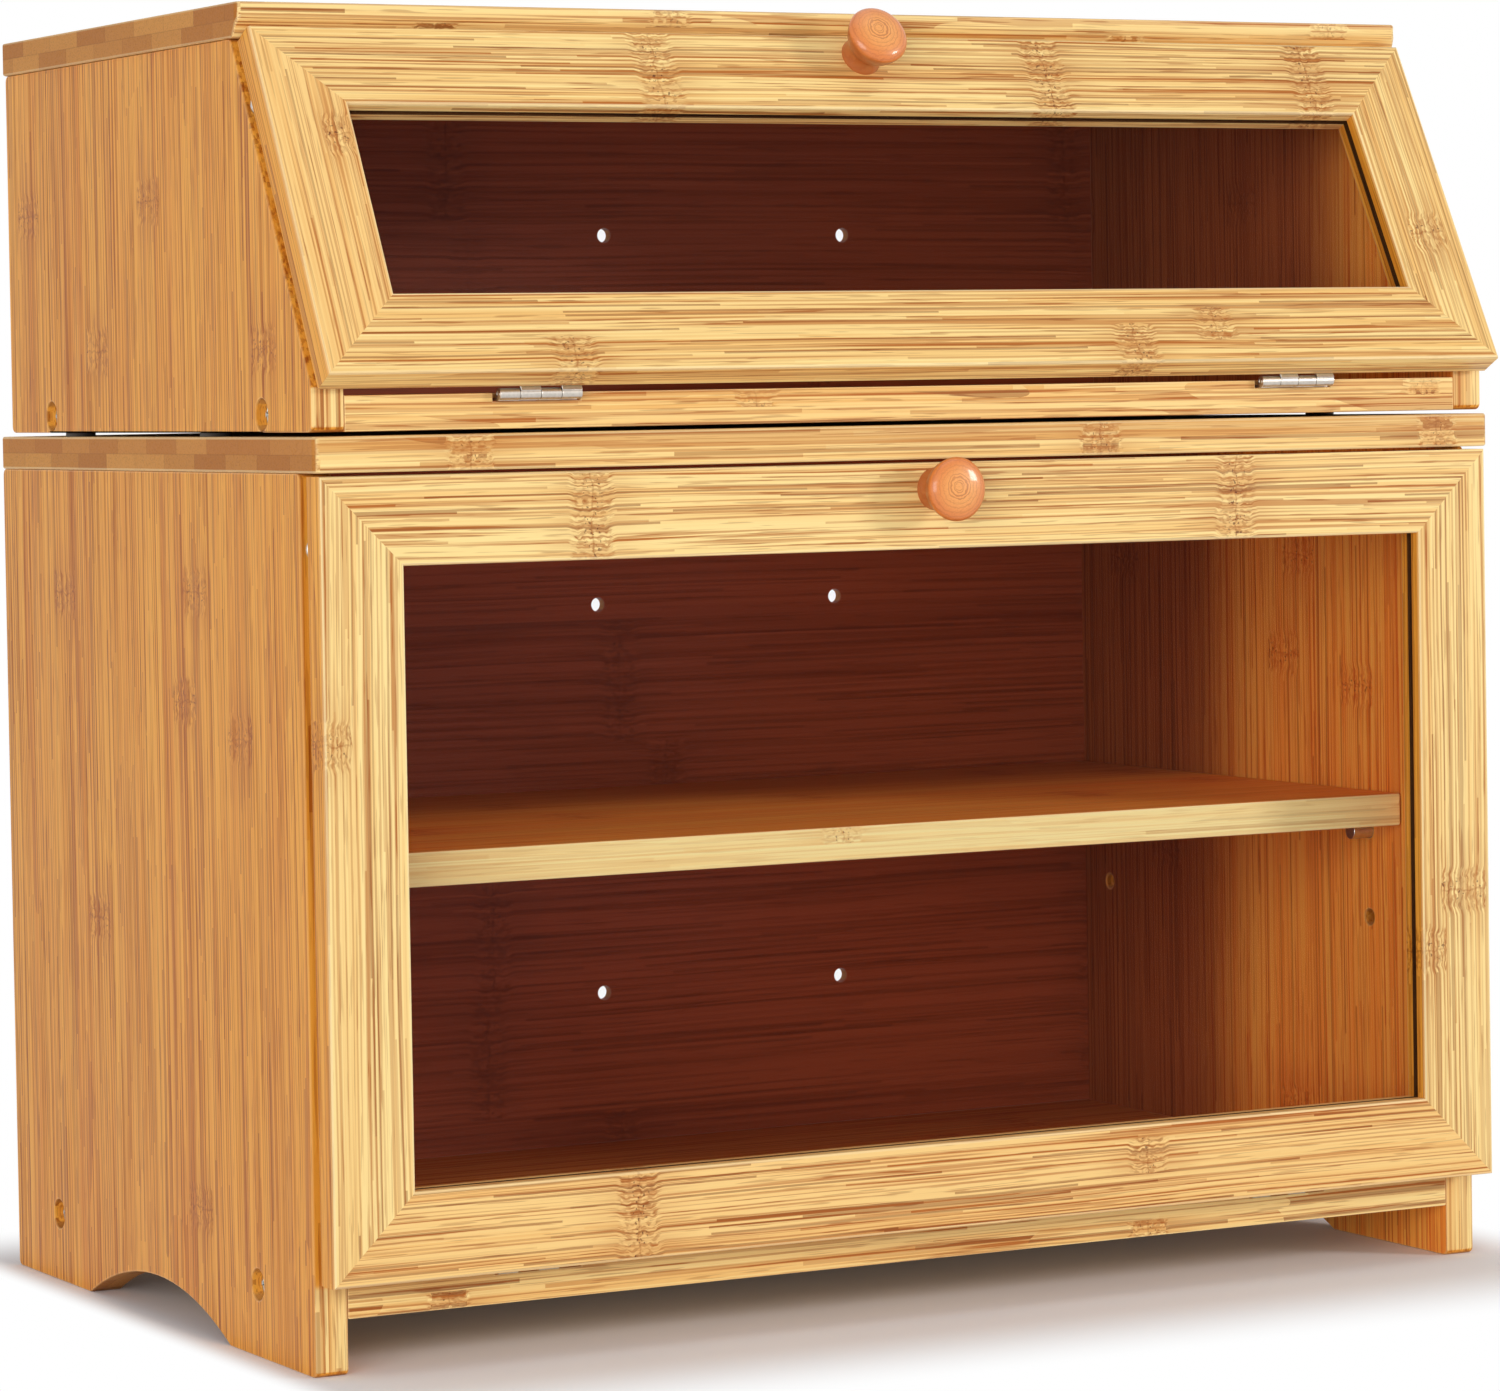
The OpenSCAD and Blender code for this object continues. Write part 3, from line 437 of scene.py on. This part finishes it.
# Joints of the cane: all across a member, or at a part of it (across, along, half width)
doors = {
    "lower": ((0, 0, 1), (0, 1, 0), {
        "top_rail": ((-111, 103), ()), "bottom_rail": ((-100,), ((42, 69, 5),)),
        "left_stile": ((), ((-190, 175, 4),)),
        "right_stile": ((), ((184, 114, 8), (172, 96, 5)))}),
    "upper": (up_slope, out_slope, {
        "top_rail": ((-69, 62, 156), ()),
        "bottom_rail": ((), ((199, 95, 5), (191, 66, 8), (190, -118, 7))),
        "left_stile": ((), ((-174, 262, 4),)), "right_stile": ((), ((182, 230, 6),))}),
}
WARM_TONES = (srgb(252, 212, 138), srgb(238, 176, 94), srgb(184, 104, 38), srgb(104, 52, 20))
# Painted shade: dark tones for the faces in the pane's groove.
GROOVE_SHADE_TONES = (srgb(96, 58, 30), srgb(84, 48, 24), srgb(60, 34, 18), srgb(44, 24, 12))
FRAME_THICK = 0.0094
FRAME_SKIN = 0.001
PANE_MIDDLE = 4.8
WINDOW_EDGE = 12
for door, (up, out, joints) in doors.items():
    # the corner edges along the mitres stay tight
    corners = [Vector(v.co) for v in frame["nodes"][f"{door}_door_left_stile"].data.vertices]
    sill = min(c.dot(Vector(up)) for c in corners)
    head = max(c.dot(Vector(up)) for c in corners)
    front = min(c.dot(Vector(out)) for c in corners)
    half = -min(c.x for c in corners)

    def on_mitre(middle, up=up, sill=sill, head=head, half=half):
        rise = middle.dot(Vector(up))
        reach = half - abs(middle.x)
        return abs(reach - (rise - sill)) < 2e-5 or abs(reach - (head - rise)) < 2e-5

    def in_thickness(middle, out=out, front=front):
        return FRAME_SKIN < middle.dot(Vector(out)) - front < FRAME_THICK - FRAME_SKIN

    def stile_edge(wire, place, facing):
        return abs(facing.dot((1, 0, 0))).over(0.75, 0.9)

    # Painted shade in the groove that holds the pane: its faces are painted dark.
    def painted_shade_in_groove(wire, place, facing, up=up, out=out, front=front, sill=sill, head=head, half=half):
        rise, aside = place.dot([1000 * c for c in up]), abs(place.dot((1000, 0, 0)))
        low, high, wide = 1000 * sill + WINDOW_EDGE, 1000 * head - WINDOW_EDGE, 1000 * half - WINDOW_EDGE
        inner = rise.over(low - 1, low) * (1 - rise.over(high, high + 1)) * (1 - aside.over(wide, wide + 1))
        from_pane = abs(place.dot([1000 * c for c in out]) - (1000 * front + PANE_MIDDLE))
        return inner * (1 - from_pane.over(1.0, 1.05))

    for part, grain, across in (("top_rail", (1, 0, 0), up), ("bottom_rail", (1, 0, 0), up),
                                ("left_stile", up, (1, 0, 0)), ("right_stile", up, (1, 0, 0))):
        name = part.split("_")[0]
        upright = "stile" in part
        member = worked(f"{door}_door_{part}", 0.0008,
                        leave=lambda middle: on_mitre(middle) or in_thickness(middle))
        member.data.materials.append(bamboo(
            f"{door} {name} member", grain, across, out, strip=400.0, layer=400.0,
            knuckles=joints[part][0], spots=joints[part][1], edge_highlight=0.55,
            tones=WARM_TONES if door + name in ("lowerbottom", "upperleft") else FRONT_TONES,
            # the stile edges that face sideways take the sideways tones with painted shade
            tints=(((stile_edge, SIDE_TONES_WITH_SHADE),) if upright else ()) + ((painted_shade_in_groove, GROOVE_SHADE_TONES),),
            drawn=0.75 if upright else 1.0, shift=(3.0 + len(name), 200.0),
            seed=len(door + name) * 3.0 + ord(name[0])))

# ---- Clear panes ----
# Clear acrylic sheet, 2 mm thick, in a groove round the inside of each frame.

pane_look = bpy.data.materials.new("clear acrylic")
pane_look.use_nodes = True
pane_shader = pane_look.node_tree.nodes["Principled BSDF"]
pane_shader.inputs["Base Color"].default_value = srgb(40, 26, 18)
pane_shader.inputs["Roughness"].default_value = 0.03
pane_shader.inputs["Alpha"].default_value = 0.04
for door in ("lower", "upper"):
    pane = worked(f"{door}_door_pane", 0.0003)
    pane.data.materials.append(pane_look)

# ---- Knobs ----
# Turned hardwood under a glossy orange-brown lacquer: a waisted neck and a domed
# head with the lathe's fine rings on it. A screw from behind holds each.

# Profile from the foot to the edge of the head, (radius, height) in mm
KNOB_FOOT = [(6.25, 0), (6.2, 0.5), (5.85, 1.2), (5.5, 2.4), (5.35, 3.6), (5.5, 4.6), (6.1, 5.4),
             (7.1, 6.4), (8.0, 7.8), (8.7, 9.5), (9.1, 11.0), (9.25, 11.9)]
# The same over the face, from the edge to the middle
KNOB_FACE = [(9.24, 12.0), (9.12, 12.35), (8.88, 12.75), (8.5, 13.2), (8.0, 13.62), (7.2, 14.02),
             (6.0, 14.36), (4.8, 14.6), (3.6, 14.76), (2.4, 14.88), (1.2, 14.96), (0.4, 15.0)]
for door in ("lower", "upper"):
    up, out = Vector(doors[door][0]), Vector(doors[door][1])
    ring = [v.co for v in frame["nodes"][f"{door}_door_knob"].data.vertices]
    seat = max(c.dot(out) for c in ring)
    ring = [c for c in ring if c.dot(out) > seat - 1e-6]
    foot = (Vector([max(c[i] for c in ring) for i in range(3)])
            + Vector([min(c[i] for c in ring) for i in range(3)])) / 2
    bpy.ops.object.select_all(action="DESELECT")
    bpy.ops.mesh.primitive_circle_add(vertices=72, radius=KNOB_FOOT[0][0] / 1000, fill_type="NGON")
    knob = bpy.context.object
    knob.name = f"{door}_door_turned_knob"
    bpy.ops.object.mode_set(mode="EDIT")
    bpy.ops.mesh.select_all(action="SELECT")
    was = KNOB_FOOT[0]
    for now in KNOB_FOOT[1:] + KNOB_FACE:
        step, grow = (now[1] - was[1]) / 1000, now[0] / was[0]
        bpy.ops.mesh.extrude_region_move(TRANSFORM_OT_translate={"value": (0, 0, step)})
        bpy.ops.transform.resize(value=(grow, grow, 1), center_override=(0, 0, now[1] / 1000))
        was = now
    bpy.ops.mesh.merge(type="CENTER")
    bpy.ops.mesh.select_all(action="SELECT")
    bpy.ops.mesh.normals_make_consistent(inside=False)
    bpy.ops.object.mode_set(mode="OBJECT")
    bpy.ops.object.shade_smooth_by_angle(angle=math.radians(50))
    knob.rotation_euler = (-out).to_track_quat("Z", "Y").to_euler()
    knob.location = foot
    bpy.ops.object.transform_apply(location=True, rotation=True, scale=True)
    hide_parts(f"{door}_door_knob")
    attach(knob, f"{door}_door")

    made, wire = blank_material(f"{door} knob lacquer")
    place = wire.node("TexCoord", out=3)
    sx, sz = place.dot((1000, 0, 0)), place.dot(1000 * up) - 1000 * foot.dot(up)
    rise = 1000 * foot.dot(out) - place.dot(1000 * out)
    radius = (sx * sx + sz * sz).root()
    swirl = (sx + 0.9) * (sx + 0.9) + (sz - 0.8) * (sz - 0.8)
    wander = wire.noise(sx * 0.6, sz * 0.6, rise * 0.6, 1.0) * 1.2
    rings = wire.noise((swirl.root() + wander) * 2.0, 0.0, rise * 0.08, 1.0)
    speckle = wire.noise(sx * 2.2, sz * 2.2, rise * 1.2, 2.0, 0.7)
    # Painted shade: the neck and the underside of the head are painted dark brown.
    under = 1 - rise.over(10.5, 12.5)
    colour = wire.mixed(radius.over(3.0, 9.3) * 0.7, srgb(244, 166, 88), srgb(222, 112, 40))
    colour = wire.mixed(under * 0.75, colour, srgb(160, 76, 28))
    ringed = rings.over(0.50, 0.60) * (0.55 - radius.over(2.0, 7.0) * 0.35)
    colour = wire.mixed(ringed, colour, srgb(164, 74, 24))
    colour = wire.mixed(speckle.over(0.52, 0.66) * 0.30, colour, srgb(196, 96, 36))
    bump = wire.node("Bump", None, {"Strength": 0.30, "Distance": 0.0001, "Height": rings + speckle * 0.5})
    shader = wire.node("BsdfPrincipled", None, {
        "Base Color": colour, "Roughness": 0.34 + rings * 0.1, "Normal": bump, "Specular IOR Level": 0.4,
        "Coat Weight": 0.5, "Coat Roughness": 0.08})
    shader.shown()
    knob.data.materials.append(made)

# ---- Upper cabinet ----
# The same boards as below: sides with a sloping front edge, a bottom board, a back
# panel, and a cap whose front edge is bevelled underneath.

for node in ("upper_left_side", "upper_right_side"):
    panel = worked(node, 0.0005)
    panel.data.materials.append(side_bamboo)
upper_floor = worked("upper_bottom_board", 0.0004)
upper_floor.data.materials.append(board_bamboo)
# The upper back panel carries the same painted shade.
upper_back = worked("upper_back_panel", 0.0003)
upper_back.data.materials.append(back_panel_shade_bamboo)
cap = worked("cap_board", 0.0006)
cap.data.materials.append(bamboo("cap bamboo", (1, 0, 0), (0, 1, 0), (0, 0, 1), strip=23.0,
                                 shift=(6.0, -1.1), seed=44.0))

# ---- Pads ----
# Four thin soft pads under the upper cabinet's sides keep it off the deck.

pads = worked("stacking_pads", 0.0002)
pad_look = bpy.data.materials.new("pad rubber")
pad_look.use_nodes = True
wire = Wire(pad_look.node_tree)
spot = wire.node("TexCoord", out=3)
crumb = wire.noise(spot.dot((900, 0, 0)), spot.dot((0, 900, 0)), spot.dot((0, 0, 900)), 3.0)
pad_shader = pad_look.node_tree.nodes["Principled BSDF"]
pad_colour = wire.mixed(crumb, srgb(88, 84, 80), srgb(60, 57, 54))
pad_look.node_tree.links.new(pad_colour.socket, pad_shader.inputs["Base Color"])
pad_shader.inputs["Roughness"].default_value = 0.8
pads.data.materials.append(pad_look)

# ---- The studio ----
# A pale floor that fades into a white surround, a small lamp from the right, a broad
# one from the left and a weak one above. The camera looks from the front left.

HALF_WIDTH, HALF_DEPTH = 0.195, 0.130
FADE_RIGHT, FADE_LEFT = 2, 5


def seen_directly(wire):
    """1 for what the camera sees, also mirrored and through the panes, else 0."""
    straight, mirrored, through = [wire.node("LightPath", out=n) for n in (0, 3, 6)]
    return straight.larger(mirrored.larger(through))


bpy.ops.mesh.primitive_plane_add(size=12, location=(0, 0, 0))
floor = bpy.context.object
floor.name = "floor"
floor_look, wire = blank_material("floor")
ground = wire.node("TexCoord", out=3)
across = ground.dot((1, 0, 0))
to_right, to_left = across - HALF_WIDTH, -across - HALF_WIDTH
beside = to_right.larger(0.0) * FADE_RIGHT + to_left.larger(0.0) * FADE_LEFT
before = (abs(ground.dot((0, 1, 0))) - HALF_DEPTH).larger(0.0)
far = (beside * beside + before * before).root().over(-0.006, 0.068)
lit = wire.node("BsdfDiffuse", None, {"Color": (0.92, 0.905, 0.925, 1)})
glow = wire.node("Emission", None, {"Color": (1, 1, 1, 1), "Strength": 1.0})
wire.node("MixShader", None, {0: far * seen_directly(wire), 1: lit, 2: glow}).shown()
floor.data.materials.append(floor_look)

world = bpy.data.worlds.new("surround")
bpy.context.scene.world = world
world.use_nodes = True
world.node_tree.nodes.clear()
wire = Wire(world.node_tree)
strength = seen_directly(wire) * 0.61 + 0.39
wire.node("Background", None, {"Color": (1, 1, 1, 1), "Strength": strength}).shown("World")


def lamp(name, place, aim, size, power, colour=(1, 1, 1)):
    light = bpy.data.lights.new(name, "AREA")
    light.shape, light.size, light.energy, light.color = "SQUARE", size, power, colour
    rig = bpy.data.objects.new(name, light)
    rig.location = place
    rig.rotation_euler = (Vector(aim) - Vector(place)).to_track_quat("-Z", "Y").to_euler()
    bpy.context.scene.collection.objects.link(rig)


lamp("key", (1.7, -1.6, 0.75), (0, 0, 0.2), 0.5, 18)
lamp("front left", (-1.75, -1.65, 0.33), (0, 0, 0.2), 1.5, 34)
lamp("top", (0.0, -0.2, 2.2), (0, 0, 0.2), 1.6, 5)

camera = bpy.data.objects.new("camera", bpy.data.cameras.new("camera"))
bpy.context.scene.collection.objects.link(camera)
camera.location = (-0.77927, -1.46424, 0.27088)
camera.rotation_euler = [math.radians(a) for a in (88.173, 0.941, -27.943)]
camera.data.lens = 129.33
camera.data.shift_x, camera.data.shift_y = 0.0067, -0.0903
bpy.context.scene.camera = camera
bpy.context.scene.view_settings.view_transform = "Standard"
